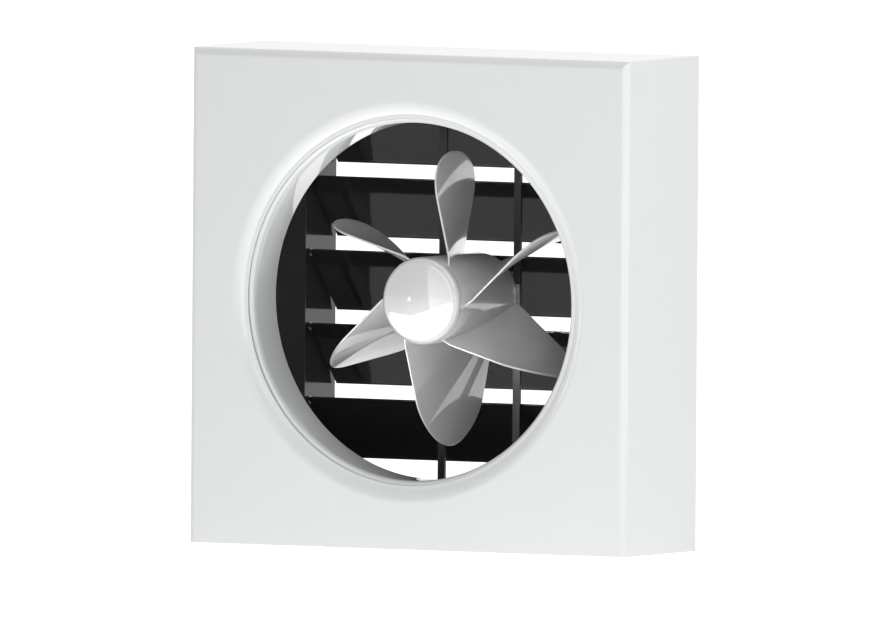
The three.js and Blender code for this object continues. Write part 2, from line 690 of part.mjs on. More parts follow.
// The shaft is stepped: a collar behind the boss, and a threaded end for the nut.
const SHAFT_FRONT = BOSS_FRONT - FIT - NUT_LENGTH - RUN;
add('motor_shaft', revolve([
  [0, SHAFT_FRONT],
  [SHAFT_RADIUS - SHAFT_CHAMFER, SHAFT_FRONT],
  [SHAFT_RADIUS, SHAFT_FRONT + SHAFT_CHAMFER],
  [SHAFT_RADIUS, WEB_REAR + ROTOR_BOSS_REAR + FIT],
  [SHAFT_RADIUS + SHAFT_COLLAR, WEB_REAR + ROTOR_BOSS_REAR + FIT],
  [SHAFT_RADIUS + SHAFT_COLLAR, TUBE_FRONT - FIT],
  [SHAFT_RADIUS, TUBE_FRONT - FIT],
  [SHAFT_RADIUS, REAR_BEARING + BEARING_WIDTH],
  [0, REAR_BEARING + BEARING_WIDTH],
], ROUND_MEDIUM / 2), STEEL);

function shaftNut() {
  const corner = NUT_ACROSS_FLATS / 2 / Math.cos(Math.PI / 6);
  const hexagon = polygon(arc([0, 0], [corner, corner], 0, 360, 6).slice(1));
  hexagon.holes.push(disc(SHAFT_RADIUS + FIT));
  return slab(hexagon, BOSS_FRONT - FIT - NUT_LENGTH, BOSS_FRONT - FIT);
}

add('shaft_nut', shaftNut(), ZINC);

// The nose cap: a shallow dome with a rounded edge, and a spigot that plugs into the shell.
function noseCap() {
  const faceRadius = HUB_RADIUS - NOSE_EDGE_RADIUS;
  const faceDepth = NOSE_FRONT + NOSE_DOME_RISE;
  const dome = (radius, front, steps = ARC_STEPS) => {
    const points = [];
    for (let i = 0; i <= steps; i += 1) {
      const r = (radius * i) / steps;
      points.push([r, front + NOSE_DOME_RISE * (r / radius) ** 2]);
    }
    return points;
  };
  const edge = (radius) => arc([faceRadius, faceDepth + NOSE_EDGE_RADIUS], [radius, radius], 270, 360);
  const bandRear = HUB_FRONT - FIT;
  const spigot = HUB_RADIUS - HUB_WALL - FIT;
  const inner = dome(faceRadius, NOSE_FRONT + HUB_WALL, ARC_STEPS / 2);
  return revolve([
    ...dome(faceRadius, NOSE_FRONT),
    ...edge(NOSE_EDGE_RADIUS).slice(1),
    [HUB_RADIUS, bandRear],
    [spigot, bandRear],
    [spigot, bandRear + NOSE_SPIGOT],
    [spigot - HUB_WALL, bandRear + NOSE_SPIGOT],
    [spigot - HUB_WALL, faceDepth + NOSE_EDGE_RADIUS],
    ...inner.reverse(),
  ], ROUND_MEDIUM);
}

add('nose_cap', noseCap(), WHITE_GLOSS);

// ---------------------------------------------------------------- blades

// Sideways place of the blade's middle surface: straight from the leading line to the trailing
// line at every height, which twists the blade from root to tip.
function bladeSide(y, height) {
  const lead = LEAD_ROOT + LEAD_LEAN * (height - LEAD_ROOT_HEIGHT);
  const trail = TRAIL_ROOT + TRAIL_LEAN * (height - TRAIL_ROOT_HEIGHT);
  return THREE.MathUtils.lerp(lead, trail, (y - BLADE_FRONT) / BLADE_PITCH_DEPTH);
}

function bladePoint(y, height, offset) {
  const step = 0.5;
  const point = new THREE.Vector3(bladeSide(y, height), y, height);
  const along = new THREE.Vector3(bladeSide(y + step, height) - point.x, step, 0);
  const outward = new THREE.Vector3(bladeSide(y, height + step) - point.x, 0, step);
  return point.addScaledVector(along.cross(outward).normalize(), offset);
}

// A thin sheet over a grid: columns run across the depth and rows from the hub to the rounded tip.
function blade() {
  const columns = 12;
  const rows = 6;
  const middle = (BLADE_FRONT + BLADE_REAR) / 2;
  const halfDepth = (BLADE_REAR - BLADE_FRONT) / 2;
  const shoulder = TIP_RADIUS - BLADE_ROUNDING;
  const root = HUB_RADIUS + FIT;
  const points = [];
  for (const side of [1, -1]) {
    for (let column = 0; column <= columns; column += 1) {
      const turn = Math.PI * (column / columns - 0.5);
      const y = middle + halfDepth * Math.sin(turn);
      const top = shoulder + BLADE_ROUNDING * Math.cos(turn);
      for (let row = 0; row <= rows; row += 1) {
        const height = THREE.MathUtils.lerp(root, top, row / rows);
        const point = bladePoint(y, height, (side * BLADE_THICKNESS) / 2);
        if (row === 0) point.z = Math.sqrt(root ** 2 - point.x ** 2);
        points.push(point);
      }
    }
  }
  const sheet = (columns + 1) * (rows + 1);
  const at = (side, column, row) => side * sheet + column * (rows + 1) + row;
  const triangles = [];
  const quad = (a, b, c, d) => triangles.push([a, b, c], [a, c, d]);
  for (let column = 0; column < columns; column += 1) {
    const next = column + 1;
    for (let row = 0; row < rows; row += 1) {
      quad(at(0, column, row), at(0, next, row), at(0, next, row + 1), at(0, column, row + 1));
      quad(at(1, column, row), at(1, column, row + 1), at(1, next, row + 1), at(1, next, row));
    }
    quad(at(0, column, 0), at(1, column, 0), at(1, next, 0), at(0, next, 0));
    quad(at(0, column, rows), at(0, next, rows), at(1, next, rows), at(1, column, rows));
  }
  for (let row = 0; row < rows; row += 1) {
    quad(at(0, 0, row), at(0, 0, row + 1), at(1, 0, row + 1), at(1, 0, row));
    quad(at(0, columns, row), at(1, columns, row), at(1, columns, row + 1), at(0, columns, row + 1));
  }
  return closedSurface(points, triangles);
}

for (let number = 0; number < BLADE_COUNT; number += 1) {
  const mesh = add(`blade_${number + 1}`, blade(), BLADE_GLOSS);
  mesh.rotation.y = (2 * Math.PI * number) / BLADE_COUNT;
}

// ---------------------------------------------------------------- shutter

const PIVOT_HEIGHTS = Array.from({ length: SLAT_COUNT }, (_, number) => (
  FRAME_INSIDE - TOP_PIVOT_DROP - SLAT_PITCH * number));

function shutterFrame() {
  const flangeShape = square(FRAME_OUTSIDE + FRAME_FLANGE);
  const lipShape = square(FRAME_OUTSIDE + FRAME_LIP);
  const block = fuse([
    slab(flangeShape, FRAME_FRONT, FRAME_FRONT + FRAME_SHEET),
    slab(square(FRAME_OUTSIDE), FRAME_FRONT, FRAME_REAR),
    slab(lipShape, FRAME_REAR - FRAME_SHEET, FRAME_REAR),
  ]);
  const inside = slab(square(FRAME_INSIDE), FRAME_FRONT - OVERCUT, FRAME_REAR + OVERCUT);
  const pivotHoles = PIVOT_HEIGHTS.map((z) => (
    pegAcross(PIVOT_RADIUS + FIT, -FRAME_OUTSIDE - OVERCUT, FRAME_OUTSIDE + OVERCUT, PIVOT_Y, z)));
  const screwHoles = shutterScrewPlaces().map(([x, z]) => (
    pegDepth(SCREW_RADIUS + FIT, FRAME_FRONT - OVERCUT, FRAME_FRONT + FRAME_SHEET + OVERCUT, x, z)));
  return drill(block, [inside, ...pivotHoles, ...screwHoles]);
}

add('shutter_frame', surface(shutterFrame()), BLACK_PAINT);
addScrews('shutter_screw', shutterScrewPlaces(), FRAME_FRONT + FRAME_SHEET + FIT, SCREW_LENGTH);

// The slat in section, drawn hanging straight down: first number towards the rear, second up.
function slatSection() {
  const half = SLAT_THICKNESS / 2;
  const foot = THREE.MathUtils.radToDeg(Math.asin(half / SLAT_BEAD));
  return polygon([
    [half, SLAT_TOP],
    [-half, SLAT_TOP],
    ...arc([0, SLAT_BEAD - SLAT_WIDTH], [SLAT_BEAD, SLAT_BEAD], -270 + foot, 90 - foot),
  ]);
}

// The flange at each end of a slat: shallow beside the pivot, where the slat above closes over
// it, and deep below.
function endFlangeSection() {
  return polygon([
    ...arc([0, 0], [EAR_RADIUS, EAR_RADIUS], 0, 180),
    [-SLAT_THICKNESS / 4, -2 * EAR_RADIUS],
    [-SLAT_THICKNESS / 4, SLAT_BEAD - SLAT_WIDTH],
    [END_FLANGE, -END_FULL_FOOT],
    [END_FLANGE, -END_FULL_TOP],
    [END_NECK, -END_NECK_FOOT],
    [END_NECK, -EAR_RADIUS],
  ]);
}

// The lug is a small upright plate on the room side, with a hole for the link pin.
function lugSection() {
  return polygon([
    [-SLAT_THICKNESS / 4, -LUG_BASE],
    [-SLAT_THICKNESS / 4, 0],
    ...arc([-LUG_ARM, 0], [LUG_RADIUS, LUG_RADIUS], LUG_ROUND_START, LUG_ROUND_END),
  ]);
}

function slat() {
  const reach = FRAME_OUTSIDE + PIVOT_REACH;
  const body = fuse([
    strip(slatSection(), -SLAT_HALF, SLAT_HALF),
    strip(endFlangeSection(), -SLAT_HALF, -SLAT_HALF + SLAT_THICKNESS),
    strip(endFlangeSection(), SLAT_HALF - SLAT_THICKNESS, SLAT_HALF),
    strip(lugSection(), LUG_PLACE, LUG_PLACE + LUG_THICKNESS),
    pegAcross(PIVOT_RADIUS, -reach, -SLAT_HALF + OVERCUT, 0, 0),
    pegAcross(PIVOT_RADIUS, SLAT_HALF - OVERCUT, reach, 0, 0),
  ]);
  const pinHole = pegAcross(
    LINK_PIN_RADIUS + FIT, LUG_PLACE - OVERCUT, LUG_PLACE + LUG_THICKNESS + OVERCUT, -LUG_ARM, 0);
  return drill(body, [pinHole]);
}

const slatSurface = surface(slat());
PIVOT_HEIGHTS.forEach((z, number) => {
  const mesh = add(`slat_${number + 1}`, slatSurface.clone(), BLACK_PAINT);
  mesh.position.set(0, PIVOT_Y, z);
  mesh.rotation.x = THREE.MathUtils.degToRad(SLAT_REST);
});

// The tie bar hangs on the five link pins and stays upright while the slats turn.
const REST_ANGLE = THREE.MathUtils.degToRad(SLAT_REST);
const LINK_Y = PIVOT_Y - LUG_ARM * Math.cos(REST_ANGLE);
const LINK_HEIGHTS = PIVOT_HEIGHTS.map((z) => z - LUG_ARM * Math.sin(REST_ANGLE));
const TIE_LEFT = LUG_PLACE + LUG_THICKNESS + RUN;

function tieBar() {
  const top = LINK_HEIGHTS[0];
  const bottom = LINK_HEIGHTS[SLAT_COUNT - 1];
  const end = TIE_WIDTH / 2;
  const shape = polygon([
    ...arc([LINK_Y, top], [end, end], 0, 180),
    ...arc([LINK_Y, bottom], [end, end], 180, 360),
  ]);
  const holes = LINK_HEIGHTS.map((z) => (
    pegAcross(LINK_PIN_RADIUS + FIT, TIE_LEFT - OVERCUT, TIE_LEFT + TIE_THICKNESS + OVERCUT, LINK_Y, z)));
  return drill(solid(strip(shape, TIE_LEFT, TIE_LEFT + TIE_THICKNESS)), holes);
}

add('tie_bar', surface(tieBar()), DARK_BAR);

// A link pin has a head on each side of the lug and the bar that it joins.
function linkPin() {
  const left = LUG_PLACE - FIT - LINK_HEAD;
  const right = TIE_LEFT + TIE_THICKNESS + FIT + LINK_HEAD;
  return fuse([
    pegAcross(LINK_HEAD_RADIUS, left, left + LINK_HEAD, 0, 0),
    pegAcross(LINK_PIN_RADIUS, left, right, 0, 0),
    pegAcross(LINK_HEAD_RADIUS, right - LINK_HEAD, right, 0, 0),
  ]);
}

const pinSurface = surface(linkPin());
LINK_HEIGHTS.forEach((z, number) => {
  const mesh = add(`link_pin_${number + 1}`, pinSurface.clone(), ZINC);
  mesh.position.set(0, LINK_Y, z);
});

export default fan;
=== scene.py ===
"""Window exhaust fan: smooth visible pieces, materials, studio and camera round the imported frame.

Lengths are millimetres in the fan's own frame unless a name says otherwise: x and z from the
impeller axis, y the depth behind the front face of the casing. to_frame() turns them into the
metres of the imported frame.
"""

import math

import bpy
from mathutils import Matrix, Vector
from mathutils.geometry import tessellate_polygon


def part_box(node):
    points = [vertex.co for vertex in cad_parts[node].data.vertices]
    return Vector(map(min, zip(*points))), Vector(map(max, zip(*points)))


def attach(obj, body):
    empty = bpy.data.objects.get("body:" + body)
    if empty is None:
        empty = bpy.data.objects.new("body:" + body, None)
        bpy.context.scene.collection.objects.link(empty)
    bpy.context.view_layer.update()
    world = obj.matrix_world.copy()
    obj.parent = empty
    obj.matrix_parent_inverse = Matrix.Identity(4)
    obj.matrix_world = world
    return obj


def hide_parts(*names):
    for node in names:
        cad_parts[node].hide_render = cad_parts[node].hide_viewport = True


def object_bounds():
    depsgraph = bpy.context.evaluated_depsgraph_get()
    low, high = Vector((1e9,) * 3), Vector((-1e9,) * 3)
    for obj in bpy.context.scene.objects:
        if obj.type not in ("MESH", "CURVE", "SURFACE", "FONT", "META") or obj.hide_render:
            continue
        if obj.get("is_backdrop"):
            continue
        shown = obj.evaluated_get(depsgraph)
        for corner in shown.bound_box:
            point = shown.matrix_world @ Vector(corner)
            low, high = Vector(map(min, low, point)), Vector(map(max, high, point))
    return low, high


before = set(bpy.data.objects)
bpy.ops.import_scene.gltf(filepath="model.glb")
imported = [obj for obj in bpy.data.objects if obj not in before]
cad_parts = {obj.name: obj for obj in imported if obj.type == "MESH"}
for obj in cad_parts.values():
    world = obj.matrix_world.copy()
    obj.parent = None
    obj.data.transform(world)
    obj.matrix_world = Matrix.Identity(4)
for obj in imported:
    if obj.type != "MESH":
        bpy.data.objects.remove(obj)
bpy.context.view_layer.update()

# ------------------------------------------------------------------ sizes

MM = 0.001
FIT = 0.3
CHAMFER = 0.3
CASE_HALF = 250.0
CASE_DEPTH = 151.7
CASE_SHEET = 1.5
EDGE_RADIUS = 8.0
DISH_WIDTH = 13.5
DISH_DEPTH = 4.5
LIP_WIDTH = 4.0
LIP_ROUND = 0.4
MOUTH_RADIUS = 185.5
REAR_FLANGE = 12.0
PANEL_SHEET = 1.5

LIP_SEAM = 1.1
# The dark ring in the seam behind the inlet's lip is painted shade.
SEAM_SHADE_GAP = 0.05
SEAM_SHADE_SETBACK = 0.25
SHROUD_SHEET = 1.2
SHROUD_STEP = 4.9
SHROUD_ENTRY = 8.5
SHROUD_LENGTH = 49.4
SHROUD_BEAD = 1.8
SHROUD_FLANGE_INSET = 1.0

HUB_RADIUS = 44.2
HUB_WALL = 2.0
HUB_REAR = 149.3
HUB_FRONT = 36.0
WEB_FRONT = 44.0
WEB_SHEET = 3.0
BOSS_RADIUS = 10.0
BOSS_FRONT = 40.0
BOSS_REAR = 56.0
SHAFT_BORE = 4.3
ROTOR_ROUND = 0.5

NOSE_FRONT = 20.6
NOSE_DOME_RISE = 4.0
NOSE_EDGE_RADIUS = 7.0
NOSE_SPIGOT = 4.3

BLADE_COUNT = 6
TIP_RADIUS = 149.0
BLADE_THICKNESS = 2.0
BLADE_FRONT = 40.0
BLADE_PITCH_DEPTH = 113.0
BLADE_ROUNDING = 48.0
BLADE_SINK = 0.4
BLADE_RIM = 0.7
LEAD_ROOT, LEAD_LEAN, LEAD_ROOT_HEIGHT = 27.9, -0.24, 33.0
TRAIL_ROOT, TRAIL_LEAN, TRAIL_ROOT_HEIGHT = -19.5, 0.20, 39.5

SLAT_COUNT = 5
SLAT_HALF_LENGTH = 197.8
SLAT_WIDTH = 86.0
SLAT_THICKNESS = 1.4
SLAT_TOP = 1.5
SLAT_BEAD = 1.2
SLAT_EDGE = 0.25
SLAT_REST = math.radians(44.0)
SLAT_PITCH = 74.47
TOP_PIVOT = 188.28
END_FLANGE = 9.5
EAR_RADIUS = 3.0
END_NECK = 5.0
END_NECK_FOOT = 13.0
END_FULL_TOP = 20.0
END_FULL_FOOT = 70.0
END_ROUND = 2.0
PIVOT_DEPTH = CASE_DEPTH + 6.9
PIVOT_RADIUS = 1.8
PIVOT_END = 204.0
PIVOT_SINK = 1.0
LUG_ARM = 26.0
LUG_RADIUS = 4.5
LUG_HOLE_RADIUS = 1.8
LUG_BASE = 20.0
LUG_LEFT, LUG_RIGHT = 170.0, 171.5
LUG_ROUND_START, LUG_ROUND_END = 60, 290
# The dark strip on the slats' rear faces: painted shade, which the slat above mirrors as a dark band.
SHADE_STRIP_WIDTH = 22.0
SHADE_STRIP_THICKNESS = 0.6
SHADE_STRIP_END_GAP = 1.6
SHADE_STRIP_ROUND = 0.2

FRAME_REAR = 219.6


def to_frame(x, y, z):
    return Vector((x * MM, (y - FRAME_REAR / 2) * MM, (z + CASE_HALF) * MM))


# ------------------------------------------------------------------ mesh helpers

SMOOTH_ANGLE = math.radians(32)
ON_AXIS = 1e-6
SMALL_ROUND = 24
ROUND_SHARE = 0.45


def new_piece(name, points, faces, body, replaced, slot, material):
    """A mesh from points in the fan's millimetres that rides on a body and stands for CAD nodes."""
    mesh = bpy.data.meshes.new(name)
    mesh.from_pydata([to_frame(*point) for point in points], [], faces)
    mesh.validate()
    mesh.shade_smooth()
    mesh.set_sharp_from_angle(angle=SMOOTH_ANGLE)
    mesh.materials.append(material)
    piece = bpy.data.objects.new(name, mesh)
    bpy.context.scene.collection.objects.link(piece)
    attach(piece, body)
    if replaced:
        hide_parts(*replaced)
    return piece


def arc(centre, radii, start, end, steps):
    """Points of an elliptical arc, angles in degrees."""
    points = []
    for i in range(steps + 1):
        angle = math.radians(start + (end - start) * i / steps)
        points.append((centre[0] + radii[0] * math.cos(angle), centre[1] + radii[1] * math.sin(angle)))
    return points


def full_circle(centre, radius):
    """Points round a small circle, with the first not repeated."""
    step = 360 / SMALL_ROUND
    return arc(centre, (radius, radius), 0, 360 - step, SMALL_ROUND - 1)


def rounded(outline, radius, steps=3):
    """The closed outline with every corner cut by a small round, or less where a side is short."""
    result = []
    count = len(outline)
    for i, corner in enumerate(outline):
        here = Vector(corner)
        before = Vector(outline[i - 1]) - here
        after = Vector(outline[(i + 1) % count]) - here
        reach = min(radius, before.length * ROUND_SHARE, after.length * ROUND_SHARE)
        start = here + before.normalized() * reach
        end = here + after.normalized() * reach
        for step in range(steps + 1):
            t = step / steps
            result.append(tuple(start * (1 - t) ** 2 + here * (2 * t * (1 - t)) + end * t ** 2))
    return result


def turned(outline, segments, closed=True):
    """A [radius, depth] outline turned about the axis. Points on the axis become one vertex."""
    points, rings = [], []
    for radius, depth in outline:
        if radius < ON_AXIS:
            rings.append([len(points)] * segments)
            points.append((0.0, depth, 0.0))
            continue
        rings.append(list(range(len(points), len(points) + segments)))
        for i in range(segments):
            angle = 2 * math.pi * i / segments
            points.append((radius * math.cos(angle), depth, radius * math.sin(angle)))
    faces = []
    for ring, following in zip(rings, rings[1:] + (rings[:1] if closed else [])):
        for i in range(segments):
            j = (i + 1) % segments
            corners = [ring[i], following[i], following[j], ring[j]]
            kept = [c for k, c in enumerate(corners) if c not in corners[:k]]
            if len(kept) > 2:
                faces.append(kept)
    if area_sign(outline) < 0:
        faces = [face[::-1] for face in faces]
    return points, faces


def area_sign(outline):
    """Above 0 where the outline runs anticlockwise."""
    return sum(a[0] * b[1] - b[0] * a[1] for a, b in zip(outline, outline[1:] + outline[:1]))


# ------------------------------------------------------------------ materials

NOISE_LOW, NOISE_HIGH = 0.3, 0.7
BUMP_DEPTH = 0.0005


def new_material(name):
    material = bpy.data.materials.new(name)
    material.use_nodes = True
    nodes = material.node_tree.nodes
    return material, nodes, material.node_tree.links, nodes["Principled BSDF"]


def add_noise(nodes, links, scale, detail, stretch=None):
    """Noise over the object's own metres."""
    coordinates = nodes.new("ShaderNodeTexCoord")
    noise = nodes.new("ShaderNodeTexNoise")
    noise.inputs["Scale"].default_value = scale
    noise.inputs["Detail"].default_value = detail
    if stretch:
        mapping = nodes.new("ShaderNodeMapping")
        mapping.inputs["Scale"].default_value = stretch
        links.new(coordinates.outputs["Object"], mapping.inputs["Vector"])
        links.new(mapping.outputs["Vector"], noise.inputs["Vector"])
    else:
        links.new(coordinates.outputs["Object"], noise.inputs["Vector"])
    return noise


def add_range(nodes, links, source, low, high):
    """The middle of a noise's values spread from low to high."""
    spread = nodes.new("ShaderNodeMapRange")
    spread.inputs["From Min"].default_value = NOISE_LOW
    spread.inputs["From Max"].default_value = NOISE_HIGH
    spread.inputs["To Min"].default_value = low
    spread.inputs["To Max"].default_value = high
    links.new(source, spread.inputs["Value"])
    return spread.outputs["Result"]


def surface_material(name, colour, roughness, metallic=0.0, ior=1.5, coat=None, peel=(900.0, 0.02),
                     tone=0.03, tone_scale=14.0, roughness_spread=0.05, stretch=None):
    """Paint, plastic or metal with a fine texture, slow colour drift and uneven gloss.

    coat is the roughness and the refractive index of a clear top layer. peel is the scale and the
    strength of the fine texture.
    """
    material, nodes, links, shader = new_material(name)
    shader.inputs["Metallic"].default_value = metallic
    shader.inputs["IOR"].default_value = ior
    if coat:
        shader.inputs["Coat Weight"].default_value = 1.0
        shader.inputs["Coat Roughness"].default_value = coat[0]
        shader.inputs["Coat IOR"].default_value = coat[1]

    drift = add_noise(nodes, links, tone_scale, 3.0)
    mix = nodes.new("ShaderNodeMix")
    mix.data_type = "RGBA"
    mix.inputs["A"].default_value = (*(c * (1 - tone) for c in colour), 1)
    mix.inputs["B"].default_value = (*(min(1, c * (1 + tone)) for c in colour), 1)
    links.new(add_range(nodes, links, drift.outputs["Fac"], 0, 1), mix.inputs["Factor"])
    links.new(mix.outputs["Result"], shader.inputs["Base Color"])

    smear = add_noise(nodes, links, tone_scale * 3, 4.0, stretch=stretch)
    links.new(
        add_range(nodes, links, smear.outputs["Fac"], roughness - roughness_spread,
                  roughness + roughness_spread),
        shader.inputs["Roughness"])

    grain = add_noise(nodes, links, peel[0], 2.0, stretch=stretch)
    bump = nodes.new("ShaderNodeBump")
    bump.inputs["Strength"].default_value = peel[1]
    bump.inputs["Distance"].default_value = BUMP_DEPTH
    links.new(grain.outputs["Fac"], bump.inputs["Height"])
    links.new(bump.outputs["Normal"], shader.inputs["Normal"])
    return material


CASING_PAINT = surface_material(
    "casing_paint", (0.78, 0.80, 0.785), 0.45, coat=(0.06, 1.6), peel=(700.0, 0.02), tone=0.006)
# The casing's white made darker for the shroud, to stand for the shade inside the inlet: painted shade.
SHADED_SHROUD_PAINT = surface_material(
    "shroud_paint_shaded", (0.68, 0.70, 0.685), 0.45, coat=(0.03, 1.8), peel=(700.0, 0.0), tone=0.006)
NOSE_GLOSS = surface_material(
    "nose_gloss", (0.62, 0.63, 0.62), 0.40, coat=(0.04, 2.1), peel=(300.0, 0.0), tone=0.01)
HUB_GLOSS = surface_material(
    "hub_gloss", (0.62, 0.62, 0.62), 0.35, coat=(0.08, 1.9), peel=(400.0, 0.0), tone=0.02)
BLADE_GLOSS = surface_material(
    "blade_gloss", (0.72, 0.72, 0.72), 0.35, ior=1.6, coat=(0.02, 2.0), peel=(300.0, 0.0), tone=0.02)
BLACK_PAINT = surface_material(
    "black_paint", (0.044, 0.044, 0.045), 0.38, peel=(900.0, 0.0), tone=0.04, roughness_spread=0.02)
FRAME_PAINT = surface_material(
    "frame_paint", (0.034, 0.034, 0.035), 0.09, peel=(900.0, 0.0), tone=0.04, roughness_spread=0.02)
SLAT_BLACK = surface_material(
    "slat_black", (0.034, 0.034, 0.035), 0.07, ior=2.2, peel=(900.0, 0.0), tone=0.06, roughness_spread=0.01)
BAR_PAINT = surface_material("bar_paint", (0.030, 0.030, 0.031), 0.35, peel=(900.0, 0.05), tone=0.08)
DIE_CAST = surface_material("die_cast", (0.36, 0.37, 0.38), 0.5, metallic=0.8, peel=(500.0, 0.15), tone=0.08)
LAMINATION = surface_material(
    "lamination", (0.30, 0.30, 0.31), 0.42, metallic=0.9, peel=(1200.0, 0.2), tone=0.1, stretch=(1, 8, 1))
BEARING_STEEL = surface_material(
    "bearing_steel", (0.55, 0.56, 0.57), 0.25, metallic=1.0, peel=(600.0, 0.05), tone=0.04)
COPPER = surface_material("copper", (0.48, 0.17, 0.06), 0.35, metallic=0.9, peel=(400.0, 0.4), tone=0.15)
ZINC = surface_material("zinc", (0.52, 0.53, 0.54), 0.32, metallic=0.95, peel=(800.0, 0.1), tone=0.06)
# Real rubber for the lead bush, and the dark ring in the inlet seam, which is painted shade.
RUBBER_AND_SEAM_SHADE = surface_material("rubber", (0.018, 0.018, 0.018), 0.7, peel=(900.0, 0.2), tone=0.2)
# Near-black matt finish of the strip on each slat: painted shade.
SHADE_STRIP_BLACK = surface_material("black_shade_strip", (0.010, 0.010, 0.010), 0.9, ior=1.2, peel=(2500.0, 0.6), tone=0.2)

# ------------------------------------------------------------------ casing

PANEL_SEGMENTS = 256
EDGE_STEPS = 20
ENTRY_STEPS = 16
# An extra ring this far past each round keeps the shading of the flat beside it flat.
HOLD = 0.6


def entry_curve(offset, steps):
    """The rounded entry of the inlet, tangent to the front panel at its outer end."""
    radius = (DISH_WIDTH ** 2 + DISH_DEPTH ** 2) / (2 * DISH_DEPTH)
    sweep = math.degrees(math.asin(DISH_WIDTH / radius))
    centre = (MOUTH_RADIUS + LIP_WIDTH + DISH_WIDTH, radius)
    return arc(centre, (radius - offset, radius - offset), 270, 270 - sweep, steps)


def square_ring(half, inset, depth):
    """Corners of a square, from the bottom left round to the top left, with its top and sides pulled in."""
    high = half - inset
    return [(-high, depth, -half), (high, depth, -half), (high, depth, high), (-high, depth, high)]


def casing_piece():
    """The front panel and the walls as one closed sheet: squares outside, circles round the inlet."""
    points, faces = [], []

    def add_ring(ring):
        points.extend(ring)
        return list(range(len(points) - len(ring), len(points)))

    def join(first, second):
        count = len(first)
        for i in range(count):
            j = (i + 1) % count
            faces.append([first[i], first[j], second[j], second[i]])

    def circle(radius, depth):
        return add_ring([
            (radius * math.cos(2 * math.pi * i / PANEL_SEGMENTS), depth,
             radius * math.sin(2 * math.pi * i / PANEL_SEGMENTS)) for i in range(PANEL_SEGMENTS)])

    def panel(ring, corners, outward):
        """Flat sheet between a circle and the four corners of a square round it."""
        quarter = PANEL_SEGMENTS // 4
        order = [corners[2], corners[3], corners[0], corners[1]]
        made = []
        for q in range(4):
            for i in range(q * quarter, (q + 1) * quarter):
                made.append([ring[i], ring[(i + 1) % PANEL_SEGMENTS], order[q]])
            made.append([ring[(q * quarter) % PANEL_SEGMENTS], order[q], order[q - 1]])
        faces.extend(made if outward else [face[::-1] for face in made])

    outer_rings = [square_ring(CASE_HALF, EDGE_RADIUS + HOLD, 0.0)]
    for i in range(EDGE_STEPS + 1):
        angle = math.pi / 2 * i / EDGE_STEPS
        outer_rings.append(square_ring(
            CASE_HALF, EDGE_RADIUS * (1 - math.sin(angle)), EDGE_RADIUS * (1 - math.cos(angle))))
    outer_rings.append(square_ring(CASE_HALF, 0, EDGE_RADIUS + HOLD))
    outer_rings.append(square_ring(CASE_HALF, 0, CASE_DEPTH - 2 * HOLD))
    outer_rings.append(square_ring(CASE_HALF, 0, CASE_DEPTH - CHAMFER))
    outer_rings.append(square_ring(CASE_HALF - CHAMFER, 0, CASE_DEPTH))
    inside = CASE_HALF - CASE_SHEET
    flange_rear = CASE_DEPTH - PANEL_SHEET - FIT
    flange_front = flange_rear - CASE_SHEET
    outer_rings.append(square_ring(inside, 0, CASE_DEPTH))
    outer_rings.append(square_ring(inside, 0, flange_rear))
    outer_rings.append(square_ring(inside - REAR_FLANGE, 0, flange_rear))
    outer_rings.append(square_ring(inside - REAR_FLANGE, 0, flange_front))
    outer_rings.append(square_ring(inside, 0, flange_front))
    inner_radius = EDGE_RADIUS - CASE_SHEET
    for i in range(EDGE_STEPS // 2 + 1):
        angle = math.pi / 2 * (1 - i / (EDGE_STEPS // 2))
        outer_rings.append(square_ring(
            inside, inner_radius * (1 - math.sin(angle)), CASE_SHEET + inner_radius * (1 - math.cos(angle))))
    squares = [add_ring(ring) for ring in outer_rings]
    for first, second in zip(squares, squares[1:]):
        join(first, second)

    profile = [(MOUTH_RADIUS + LIP_WIDTH + DISH_WIDTH + HOLD, 0.0)] + entry_curve(0, ENTRY_STEPS)
    lip, cut = DISH_DEPTH, LIP_ROUND / 4
    profile += [(MOUTH_RADIUS + LIP_ROUND, lip), (MOUTH_RADIUS + cut, lip + cut)]
    profile += [(MOUTH_RADIUS, lip + LIP_ROUND), (MOUTH_RADIUS, lip + CASE_SHEET)]
    profile += entry_curve(CASE_SHEET, ENTRY_STEPS)[::-1]
    circles = [circle(radius, depth) for radius, depth in profile]
    for first, second in zip(circles, circles[1:]):
        join(second, first)
    panel(circles[0], squares[0], True)
    panel(circles[-1], squares[-1], False)

    piece = new_piece(
        "casing_shell", points, [face[::-1] for face in faces], "casing", ["front_panel", "casing_walls"],
        "casing_paint", CASING_PAINT)
    # The rolled front edges meet in a sharp mitre at each corner, and so do the walls behind them.
    mitred = squares[1:EDGE_STEPS + 4]
    mitres = {tuple(sorted(pair)) for rings in zip(mitred, mitred[1:]) for pair in zip(*rings)}
    for edge in piece.data.edges:
        if tuple(sorted(edge.vertices)) in mitres:
            edge.use_edge_sharp = True


casing_piece()

# ------------------------------------------------------------------ inlet shroud

ROUND = 256


